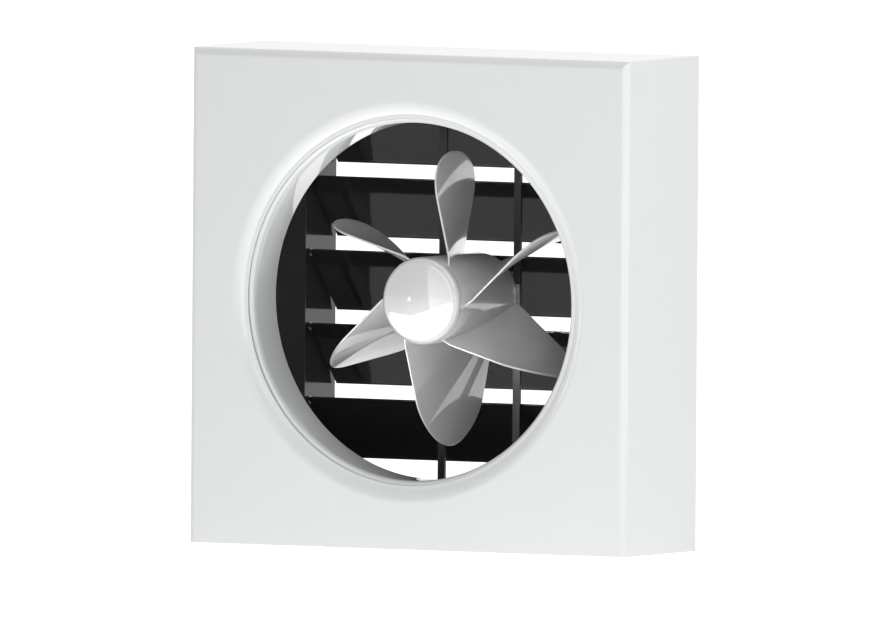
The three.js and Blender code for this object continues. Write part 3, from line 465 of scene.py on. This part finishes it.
def shroud_outline():
    """A flange at the front, a rounded entry, a straight wall and a rolled bead at the rear."""
    front = DISH_DEPTH + CASE_SHEET + LIP_SEAM
    wall = MOUTH_RADIUS - SHROUD_STEP
    rear = front + SHROUD_LENGTH
    flange = MOUTH_RADIUS + LIP_WIDTH - SHROUD_FLANGE_INSET
    entry = (MOUTH_RADIUS, front + SHROUD_ENTRY)
    bead = (wall + SHROUD_BEAD, rear - SHROUD_BEAD)
    outside = (SHROUD_STEP - SHROUD_SHEET, SHROUD_ENTRY - SHROUD_SHEET)
    return (
        [(flange, front)] + arc(entry, (SHROUD_STEP, SHROUD_ENTRY), 270, 180, 16)
        + arc(bead, (SHROUD_BEAD, SHROUD_BEAD), 180, 0, 12)
        + [(wall + SHROUD_SHEET, rear - 2 * SHROUD_BEAD)]
        + arc(entry, outside, 180, 270, 8) + [(flange, front + SHROUD_SHEET)])


# The shroud's darker paint is painted shade inside the inlet.
new_piece("shroud_ring", *turned(shroud_outline(), ROUND), "casing", ["inlet_shroud"],
          "casing_paint", SHADED_SHROUD_PAINT)


def seam_shade_outline():
    """A thin dark ring that fills the seam between the lip of the inlet and the shroud: painted shade in the
    seam.
    """
    front = DISH_DEPTH + CASE_SHEET + SEAM_SHADE_GAP
    rear = DISH_DEPTH + CASE_SHEET + LIP_SEAM - SEAM_SHADE_GAP
    inner, outer = MOUTH_RADIUS + SEAM_SHADE_SETBACK, MOUTH_RADIUS + LIP_WIDTH - SHROUD_FLANGE_INSET
    return [(inner, front), (outer, front), (outer, rear), (inner, rear)]


# Painted shade: a dark ring in the seam behind the inlet's lip.
new_piece("shroud_seam_shade", *turned(seam_shade_outline(), ROUND), "casing", None, "rubber", RUBBER_AND_SEAM_SHADE)

# ------------------------------------------------------------------ impeller

HUB_ROUND = 160


def dome(radius, front, steps=24):
    """From the axis outwards, falling back as the square of the radius."""
    return [(radius * i / steps, front + NOSE_DOME_RISE * (i / steps) ** 2) for i in range(steps + 1)]


def nose_outline():
    face_radius = HUB_RADIUS - NOSE_EDGE_RADIUS
    face_depth = NOSE_FRONT + NOSE_DOME_RISE
    centre = (face_radius, face_depth + NOSE_EDGE_RADIUS)
    edge = arc(centre, (NOSE_EDGE_RADIUS, NOSE_EDGE_RADIUS), 270, 360, 16)
    band_rear = HUB_FRONT - FIT
    spigot = HUB_RADIUS - HUB_WALL - FIT
    return (
        dome(face_radius, NOSE_FRONT) + edge[1:]
        + [(HUB_RADIUS, band_rear - CHAMFER), (HUB_RADIUS - CHAMFER, band_rear), (spigot, band_rear)]
        + [(spigot, band_rear + NOSE_SPIGOT), (spigot - HUB_WALL, band_rear + NOSE_SPIGOT)]
        + [(spigot - HUB_WALL, face_depth + NOSE_EDGE_RADIUS)]
        + dome(face_radius, NOSE_FRONT + HUB_WALL)[::-1])


new_piece("nose_dome", *turned(nose_outline(), HUB_ROUND), "impeller", ["nose_cap"],
          "nose_gloss", NOSE_GLOSS)


def rotor_outline():
    inner = HUB_RADIUS - HUB_WALL
    web_rear = WEB_FRONT + WEB_SHEET
    return rounded([
        (HUB_RADIUS, HUB_FRONT), (HUB_RADIUS, HUB_REAR), (inner, HUB_REAR), (inner, web_rear),
        (BOSS_RADIUS, web_rear), (BOSS_RADIUS, BOSS_REAR), (SHAFT_BORE, BOSS_REAR),
        (SHAFT_BORE, BOSS_FRONT), (BOSS_RADIUS, BOSS_FRONT), (BOSS_RADIUS, WEB_FRONT),
        (inner, WEB_FRONT), (inner, HUB_FRONT)], ROTOR_ROUND)


new_piece("rotor_drum", *turned(rotor_outline(), HUB_ROUND), "impeller", ["rotor_shell"],
          "hub_gloss", HUB_GLOSS)


def blade_side(y, height):
    """How far to the side the sheet's middle lies: between a leading and a trailing line that both lean."""
    lead = LEAD_ROOT + LEAD_LEAN * (height - LEAD_ROOT_HEIGHT)
    trail = TRAIL_ROOT + TRAIL_LEAN * (height - TRAIL_ROOT_HEIGHT)
    share = (y - BLADE_FRONT) / BLADE_PITCH_DEPTH
    return lead + (trail - lead) * share


def blade_point(y, height, offset):
    """A place on the sheet, set off square to it."""
    step = 0.5
    x = blade_side(y, height)
    along = Vector((blade_side(y + step, height) - x, step, 0))
    outward = Vector((blade_side(y, height + step) - x, 0, step))
    normal = along.cross(outward).normalized()
    return Vector((x, y, height)) + normal * offset


def blade_mesh(columns=56, rows=28, rim=4):
    """A thin sheet with a rounded rim: leading edge, half-ellipse tip, trailing edge.

    Its root is sunk into the shell's wall, to look welded.
    """
    rear = HUB_REAR - FIT
    middle = (BLADE_FRONT + rear) / 2
    half_depth = (rear - BLADE_FRONT) / 2
    shoulder = TIP_RADIUS - BLADE_ROUNDING
    root = HUB_RADIUS - BLADE_SINK
    half = BLADE_THICKNESS / 2
    rim_reach = half * BLADE_RIM
    points, faces = [], []

    def place(column, row, offset, inset):
        turn = math.pi * (column / columns - 0.5)
        y = middle + (half_depth - inset) * math.sin(turn)
        top = shoulder + (BLADE_ROUNDING - inset) * math.cos(turn)
        height = root + (top - root) * row / rows
        point = blade_point(y, height, offset)
        if row == 0:
            point.z = math.sqrt(root ** 2 - point.x ** 2)
        points.append(tuple(point))
        return len(points) - 1

    grids = []
    for side in (1, -1):
        grids.append([[place(c, r, side * half, rim_reach) for r in range(rows + 1)]
                      for c in range(columns + 1)])
    for grid, flip in zip(grids, (False, True)):
        for c in range(columns):
            for r in range(rows):
                face = [grid[c][r], grid[c + 1][r], grid[c + 1][r + 1], grid[c][r + 1]]
                faces.append(face[::-1] if flip else face)

    path = ([(0, r) for r in range(rows)] + [(c, rows) for c in range(columns + 1)]
            + [(columns, r) for r in range(rows - 1, -1, -1)])
    layers = [[grids[0][c][r] for c, r in path]]
    for k in range(1, 2 * rim):
        angle = math.pi / 2 - math.pi * k / (2 * rim)
        inset = rim_reach * (1 - math.cos(angle))
        layers.append([place(c, r, half * math.sin(angle), inset) for c, r in path])
    layers.append([grids[1][c][r] for c, r in path])
    for first, second in zip(layers, layers[1:]):
        for i in range(len(path) - 1):
            faces.append([first[i], first[i + 1], second[i + 1], second[i]])
    # The root follows the hub: a strip from sheet to sheet, with a small cap at each rounded edge.
    front, back = grids
    for c in range(columns):
        faces.append([front[c + 1][0], front[c][0], back[c][0], back[c + 1][0]])
    faces.append([layer[-1] for layer in reversed(layers)])
    faces.append([layer[0] for layer in layers])
    return points, faces


blade_points, blade_faces = blade_mesh()
for number in range(BLADE_COUNT):
    turn = Matrix.Rotation(2 * math.pi * number / BLADE_COUNT, 3, "Y")
    turned_points = [tuple(turn @ Vector(point)) for point in blade_points]
    new_piece(f"blade_sheet_{number + 1}", turned_points, blade_faces, "impeller",
              [f"blade_{number + 1}"], "blade_gloss", BLADE_GLOSS)

# ------------------------------------------------------------------ shutter slats


def prism(section, left, right):
    """A closed [y, z] section given a width along x."""
    count = len(section)
    points = [(left, y, z) for y, z in section] + [(right, y, z) for y, z in section]
    faces = [[i, (i + 1) % count, (i + 1) % count + count, i + count] for i in range(count)]
    faces.append(list(range(count))[::-1])
    faces.append(list(range(count, 2 * count)))
    if area_sign(section) < 0:
        faces = [face[::-1] for face in faces]
    return points, faces


def drilled_prism(section, hole, left, right):
    """A closed [y, z] section with a hole through it, given a width along x."""
    flat = section + hole
    count = len(flat)
    points = [(left, y, z) for y, z in flat] + [(right, y, z) for y, z in flat]
    outer = list(range(len(section)))
    inner = list(range(len(section), count))
    faces = []
    for loop, sign in ((outer, area_sign(section)), (inner, -area_sign(hole))):
        for here, following in zip(loop, loop[1:] + loop[:1]):
            wall = [here, following, following + count, here + count]
            faces.append(wall if sign > 0 else wall[::-1])
    for triangle in tessellate_polygon([[(y, z, 0) for y, z in loop] for loop in (section, hole)]):
        cap = list(triangle)
        if area_sign([flat[i] for i in cap]) < 0:
            cap.reverse()
        faces.append(cap[::-1])
        faces.append([i + count for i in cap])
    return points, faces


def slat_section():
    """A flat sheet with its upper edge eased and its foot rolled into a bead."""
    half = SLAT_THICKNESS / 2
    foot = math.degrees(math.asin(half / SLAT_BEAD))
    low = SLAT_TOP - SLAT_EDGE
    return (
        [(half, low), (half - SLAT_EDGE, SLAT_TOP), (SLAT_EDGE - half, SLAT_TOP), (-half, low)]
        + arc((0, SLAT_BEAD - SLAT_WIDTH), (SLAT_BEAD, SLAT_BEAD), -270 + foot, 90 - foot, 14))


def end_flange_section():
    """Shallow beside the pivot, where the slat above closes over it, and deep below."""
    front = -SLAT_THICKNESS / 4
    return rounded(arc((0, 0), (EAR_RADIUS, EAR_RADIUS), 0, 180, 8) + [
        (front, -2 * EAR_RADIUS), (front, SLAT_BEAD - SLAT_WIDTH), (END_FLANGE, -END_FULL_FOOT),
        (END_FLANGE, -END_FULL_TOP), (END_NECK, -END_NECK_FOOT), (END_NECK, -EAR_RADIUS)], END_ROUND)


def lug_section():
    """The upright plate on the room side that the link pin passes through."""
    shape = [(-SLAT_THICKNESS / 4, -LUG_BASE), (-SLAT_THICKNESS / 4, 0)]
    return shape + arc((-LUG_ARM, 0), (LUG_RADIUS, LUG_RADIUS), LUG_ROUND_START, LUG_ROUND_END, 20)


def merged(parts):
    points, faces = [], []
    for part_points, part_faces in parts:
        start = len(points)
        points.extend(part_points)
        faces.extend([index + start for index in face] for face in part_faces)
    return points, faces


def slat_mesh():
    barrel = full_circle((0, 0), PIVOT_RADIUS)
    pin_hole = full_circle((-LUG_ARM, 0), LUG_HOLE_RADIUS)
    return merged([
        prism(slat_section(), -SLAT_HALF_LENGTH, SLAT_HALF_LENGTH),
        prism(end_flange_section(), -SLAT_HALF_LENGTH, -SLAT_HALF_LENGTH + SLAT_THICKNESS),
        prism(end_flange_section(), SLAT_HALF_LENGTH - SLAT_THICKNESS, SLAT_HALF_LENGTH),
        drilled_prism(lug_section(), pin_hole, LUG_LEFT, LUG_RIGHT),
        prism(barrel, -PIVOT_END, -SLAT_HALF_LENGTH + PIVOT_SINK),
        prism(barrel, SLAT_HALF_LENGTH - PIVOT_SINK, PIVOT_END)])


def shade_strip_mesh():
    """A dark strip along the top of the rear face, where the slat above closes: painted shade, which the
    underside of the slat above shows in its gloss as a dark band.
    """
    rear_face = SLAT_THICKNESS / 2
    outside = rear_face + SHADE_STRIP_THICKNESS
    top, foot = SLAT_TOP - CHAMFER, SLAT_TOP - SHADE_STRIP_WIDTH
    section = [(rear_face, top), (rear_face, foot), (outside, foot), (outside, top)]
    reach = SLAT_HALF_LENGTH - SLAT_THICKNESS - SHADE_STRIP_END_GAP
    return prism(rounded(section, SHADE_STRIP_ROUND), -reach, reach)


def place_on_slats(prefix, mesh, replaced, slot, material):
    """One copy of the mesh on each slat, at the slats' angle at rest."""
    points, faces = mesh
    swing = Matrix.Rotation(SLAT_REST, 3, "X")
    for number in range(SLAT_COUNT):
        centre = Vector((0, PIVOT_DEPTH, TOP_PIVOT - SLAT_PITCH * number))
        placed = [tuple(swing @ Vector(point) + centre) for point in points]
        new_piece(f"{prefix}_{number + 1}", placed, faces, f"slat_{number + 1}_body",
                  [f"slat_{number + 1}"] if replaced else None, slot, material)


place_on_slats("slat_blade", slat_mesh(), True, "slat_black", SLAT_BLACK)
# Painted shade: a dark strip on each slat, seen as a dark band in the gloss of the slat above.
place_on_slats("slat_shade_strip", shade_strip_mesh(), False, "rubber", SHADE_STRIP_BLACK)

# ------------------------------------------------------------------ fasteners and grommet

SCREW_RADIUS = 2.0
SCREW_TIP = 0.4
SCREW_HEAD_RADIUS = 3.8
SCREW_HEAD = 2.4
SCREW_RIM = 0.7
SCREW_FLAT = 2.5
SCREW_LENGTH = 8.0
RECESS_ARM, RECESS_HALF_WIDTH, RECESS_DEPTH, RECESS_TAPER = 1.9, 0.42, 1.4, 0.6
RECESS_CORNERS = 16

LINK_HEAD = 1.0
LINK_HEAD_RADIUS = 2.6
LINK_PIN_RADIUS = 1.5

# The neck is slimmer than the CAD's, to clear the flats of the panel's faceted hole.
GROMMET_BORE, GROMMET_NECK, GROMMET_RADIUS, GROMMET_LIP = 3.6, 5.7, 8.0, 2.0
GROMMET_CHAMFER = 1.0
GROMMET_ROUND = 48


def node_box(name):
    """Lowest and highest corner of a CAD node, in the fan's millimetres."""
    return [Vector((corner.x / MM, corner.y / MM + FRAME_REAR / 2, corner.z / MM - CASE_HALF))
            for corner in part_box(name)]


def shifted(mesh, offset, turn=None):
    """The mesh turned about the origin, if a turn is given, and then moved."""
    points, faces = mesh
    points = [turn @ Vector(point) for point in points] if turn else [Vector(point) for point in points]
    return [tuple(point + Vector(offset)) for point in points], faces


def cross_outline(scale):
    """A cross with the middle of each arm's end as an extra corner, going round from x to z."""
    arm, half = RECESS_ARM * scale, RECESS_HALF_WIDTH * scale
    corner = [(arm, 0.0), (arm, half), (half, half), (half, arm)]
    outline = []
    for _ in range(4):
        outline.extend(corner)
        corner = [(-z, x) for x, z in corner]
    return outline


def pan_screw():
    """A cross-recess screw whose seat is at depth 0, with the head behind it."""
    crown = (SCREW_HEAD_RADIUS - SCREW_FLAT, SCREW_HEAD - SCREW_RIM)
    shoulder = arc((SCREW_FLAT, SCREW_RIM), crown, 0, 90, 6)
    points, faces = turned(
        [(0.0, -SCREW_LENGTH), (SCREW_RADIUS - SCREW_TIP, -SCREW_LENGTH),
         (SCREW_RADIUS, SCREW_TIP - SCREW_LENGTH), (SCREW_RADIUS, 0.0), (SCREW_HEAD_RADIUS, 0.0)] + shoulder,
        SMALL_ROUND, closed=False)
    ring = list(range(len(points) - SMALL_ROUND, len(points)))
    upper = list(range(len(points), len(points) + RECESS_CORNERS))
    lower = [corner + RECESS_CORNERS for corner in upper]
    points += [(x, SCREW_HEAD, z) for x, z in cross_outline(1.0)]
    points += [(x, SCREW_HEAD - RECESS_DEPTH, z) for x, z in cross_outline(RECESS_TAPER)]
    quarter = SMALL_ROUND // 4
    for q in range(4):
        rim = [ring[(q * quarter + i) % SMALL_ROUND] for i in range(quarter + 1)]
        inner = [upper[(q * 4 + i) % RECESS_CORNERS] for i in range(5)]
        faces.append(rim[::-1] + inner)
    for i in range(RECESS_CORNERS):
        j = (i + 1) % RECESS_CORNERS
        faces.append([lower[i], lower[j], upper[j], upper[i]])
    faces.append(lower[::-1])
    return points, faces


def link_pin(length):
    """A pin with two heads, from 0 to its length along x."""
    head, wide, face = LINK_HEAD, LINK_HEAD_RADIUS, LINK_HEAD_RADIUS - CHAMFER
    outline = [
        (0.0, 0.0), (face, 0.0), (wide, CHAMFER), (wide, head),
        (LINK_PIN_RADIUS, head), (LINK_PIN_RADIUS, length - head), (wide, length - head),
        (wide, length - CHAMFER), (face, length), (0.0, length)]
    across = Matrix.Rotation(-math.pi / 2, 3, "Z")
    return shifted(turned(outline, SMALL_ROUND, closed=False), (0, 0, 0), across)


def grommet(front, rear):
    """A rubber bush with two lips, a neck between them and a bore for a lead."""
    return turned(rounded([
        (GROMMET_BORE, front), (GROMMET_RADIUS, front), (GROMMET_RADIUS, front + GROMMET_LIP),
        (GROMMET_NECK, front + GROMMET_LIP), (GROMMET_NECK, rear - GROMMET_LIP),
        (GROMMET_RADIUS, rear - GROMMET_LIP), (GROMMET_RADIUS - GROMMET_CHAMFER, rear),
        (GROMMET_BORE, rear)], FIT, 4), GROMMET_ROUND)


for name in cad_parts:
    low, high = node_box(name)
    middle = (low + high) / 2
    if "screw" in name and "motor" not in name:
        screw = shifted(pan_screw(), (middle.x, high.y - SCREW_HEAD, middle.z))
        new_piece(f"{name}_cross", *screw, "casing", [name], "zinc", ZINC)
    elif "link_pin" in name:
        pin = shifted(link_pin(high.x - low.x), (low.x, middle.y, middle.z))
        new_piece(f"{name}_rivet", *pin, "tie_body", [name], "zinc", ZINC)
    elif name == "cable_grommet":
        bush = shifted(grommet(low.y, high.y), (middle.x, 0, middle.z))
        new_piece("lead_bush", *bush, "casing", [name], "rubber", RUBBER_AND_SEAM_SHADE)

# ------------------------------------------------------------------ carried-over nodes

FINISHES = {
    "rear_panel": BLACK_PAINT,
    "shutter_frame": FRAME_PAINT,
    "motor_bar_left": BAR_PAINT,
    "motor_bar_right": BAR_PAINT,
    "motor_plate": DIE_CAST,
    "stator_core": LAMINATION,
    "rotor_cage": LAMINATION,
    "winding_front": COPPER,
    "winding_rear": COPPER,
    "bearing_front": BEARING_STEEL,
    "bearing_rear": BEARING_STEEL,
    "motor_shaft": BEARING_STEEL,
    "shaft_nut": ZINC,
    "tie_bar": BAR_PAINT,
}
for name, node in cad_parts.items():
    finish = ZINC if "motor_screw" in name else FINISHES.get(name)
    if finish:
        node.material_slots[0].material = finish

SOFTENED = ("rear_panel", "shutter_frame", "motor_bar_left", "motor_bar_right", "tie_bar", "motor_plate")
SOFT_ANGLE = math.radians(40)
for name in SOFTENED:
    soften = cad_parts[name].modifiers.new("edges", "BEVEL")
    soften.width = CHAMFER * MM
    soften.segments = 2
    soften.angle_limit = SOFT_ANGLE

# ------------------------------------------------------------------ studio

TARGET = Vector((0, 0, 0.25))


def area_lamp(name, direction, distance, size, level):
    """A soft box towards the fan. level 1 shows a white surface facing it at full white."""
    lamp = bpy.data.lights.new(name, "AREA")
    lamp.shape = "RECTANGLE"
    lamp.size, lamp.size_y = size
    lamp.energy = level * math.pi ** 2 * distance ** 2
    holder = bpy.data.objects.new(name, lamp)
    toward = Vector(direction).normalized()
    holder.location = TARGET + toward * distance
    holder.rotation_euler = toward.to_track_quat("Z", "Y").to_euler()
    bpy.context.scene.collection.objects.link(holder)


# Name, direction from the fan, distance and size in metres, level. low_box shines through the floor.
LAMPS = [
    ("top_box", (0.1, -0.15, 0.97), 2.4, (1.6, 1.6), 0.13),
    ("right_front_box", (0.55, -0.83, -0.05), 2.4, (1.1, 1.1), 0.08),
    ("right_top_box", (0.55, -0.6, 0.58), 2.4, (1.4, 1.4), 0.14),
    ("right_box", (0.99, -0.05, 0.05), 2.4, (1.8, 1.8), 0.20),
    ("low_box", (0.05, -0.22, -1.0), 3.0, (1.6, 1.6), 1.05),
]
WORLD_LEVEL = 0.47
FLOOR_GLOW = 0.8
FLOOR_REACH = 12.0
FLOOR_DROP = 0.0005

for lamp_row in LAMPS:
    area_lamp(*lamp_row)

# Small cards that only the gloss of the nose cap sees. They lie in one plane in front of the cap.
CARD_DISTANCE = 110.0
CARD_SPREAD = math.radians(76)
CARD_AZIMUTH = math.radians(-28.3)
CARD_ELEVATION = math.radians(-10.0)
# Name, place and size in mm, roll in degrees, radiance.
CARDS = [
    ("low_left_card", (-30.4, -50.9), (140.0, 70.0), -8.8, 1.2),
    ("low_right_card", (43.8, -37.5), (117.0, 70.0), 16.0, 1.2),
    ("right_card", (64.0, 60.0), (80.0, 150.0), 6.0, 0.27),
    ("spark_card", (-20.8, 18.0), (6.5, 7.5), 0.0, 0.8),
]


def reflection_card(name, place, size, roll, radiance):
    """A glowing rectangle at a place in the card plane, in mm right of and above its middle."""
    toward = Vector((math.sin(CARD_AZIMUTH) * math.cos(CARD_ELEVATION),
                     -math.cos(CARD_AZIMUTH) * math.cos(CARD_ELEVATION), math.sin(CARD_ELEVATION)))
    across = Vector((math.cos(CARD_AZIMUTH), math.sin(CARD_AZIMUTH), 0))
    above = across.cross(toward) * -1
    turn = Matrix((across, above, across.cross(above))).transposed()
    lamp = bpy.data.lights.new(name, "AREA")
    lamp.shape = "RECTANGLE"
    lamp.size, lamp.size_y = size[0] * MM, size[1] * MM
    lamp.spread = CARD_SPREAD
    lamp.energy = radiance * math.pi * lamp.size * lamp.size_y
    holder = bpy.data.objects.new(name, lamp)
    centre = to_frame(0, NOSE_FRONT, 0) + (toward * CARD_DISTANCE + across * place[0] + above * place[1]) * MM
    face_back = turn @ Matrix.Rotation(math.radians(roll), 3, "Z")
    holder.matrix_world = Matrix.Translation(centre) @ face_back.to_4x4()
    holder.visible_camera = False
    holder.visible_diffuse = False
    bpy.context.scene.collection.objects.link(holder)


for card_row in CARDS:
    reflection_card(*card_row)


def backdrop_factor(nodes, links):
    """1 for rays that show the background: seen directly, in a mirror or through glass."""
    path = nodes.new("ShaderNodeLightPath")
    total = path.outputs["Is Camera Ray"]
    for output in ("Is Glossy Ray", "Is Transmission Ray"):
        add = nodes.new("ShaderNodeMath")
        add.operation = "ADD"
        add.use_clamp = True
        links.new(total, add.inputs[0])
        links.new(path.outputs[output], add.inputs[1])
        total = add.outputs[0]
    return total


def make_world(level):
    world = bpy.data.worlds.new("studio")
    world.use_nodes = True
    nodes, links = world.node_tree.nodes, world.node_tree.links
    background = nodes["Background"]
    background.inputs["Color"].default_value = (1, 1, 1, 1)
    spread = nodes.new("ShaderNodeMapRange")
    spread.inputs["To Min"].default_value = level
    spread.inputs["To Max"].default_value = 1.0
    links.new(backdrop_factor(nodes, links), spread.inputs["Value"])
    links.new(spread.outputs["Result"], background.inputs["Strength"])
    bpy.context.scene.world = world


make_world(WORLD_LEVEL)


def make_floor():
    material, nodes, links, shader = new_material("floor")
    shader.inputs["Base Color"].default_value = (0.9, 0.9, 0.9, 1)
    shader.inputs["Roughness"].default_value = 0.9
    shader.inputs["Emission Color"].default_value = (1, 1, 1, 1)
    spread = nodes.new("ShaderNodeMapRange")
    spread.inputs["To Min"].default_value = 0.0
    spread.inputs["To Max"].default_value = FLOOR_GLOW
    links.new(backdrop_factor(nodes, links), spread.inputs["Value"])
    links.new(spread.outputs["Result"], shader.inputs["Emission Strength"])
    mesh = bpy.data.meshes.new("floor")
    far = FLOOR_REACH
    mesh.from_pydata([(-far, -far, 0), (far, -far, 0), (far, far, 0), (-far, far, 0)], [], [(0, 1, 2, 3)])
    mesh.materials.append(material)
    floor = bpy.data.objects.new("floor", mesh)
    floor.location.z = -FLOOR_DROP
    # The floor takes the fan's shadow but casts none, so that low_box lights the fan through it.
    floor.visible_shadow = False
    bpy.context.scene.collection.objects.link(floor)
    floor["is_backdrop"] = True


make_floor()

# ------------------------------------------------------------------ camera

# A parallel camera, fitted to the corners of the casing in the photograph. Lengths in metres.
CAMERA_TARGET = Vector((-0.0217, -0.00386, 0.23495))
CAMERA_RIGHT = Vector((0.88038, 0.47423, 0.00722))
CAMERA_BACK = Vector((0.47327, -0.87939, 0.05215))
CAMERA_DISTANCE = 3.0
CAMERA_WIDTH = 0.88374


def make_camera():
    camera = bpy.data.cameras.new("camera")
    camera.type = "ORTHO"
    camera.ortho_scale = CAMERA_WIDTH
    holder = bpy.data.objects.new("camera", camera)
    back = CAMERA_BACK.normalized()
    right = (CAMERA_RIGHT - back * CAMERA_RIGHT.dot(back)).normalized()
    up = back.cross(right)
    turn = Matrix((right, up, back)).transposed().to_4x4()
    holder.matrix_world = Matrix.Translation(CAMERA_TARGET + back * CAMERA_DISTANCE) @ turn
    bpy.context.scene.collection.objects.link(holder)
    bpy.context.scene.camera = holder


make_camera()
bpy.context.scene.view_settings.view_transform = "Standard"

low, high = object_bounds()
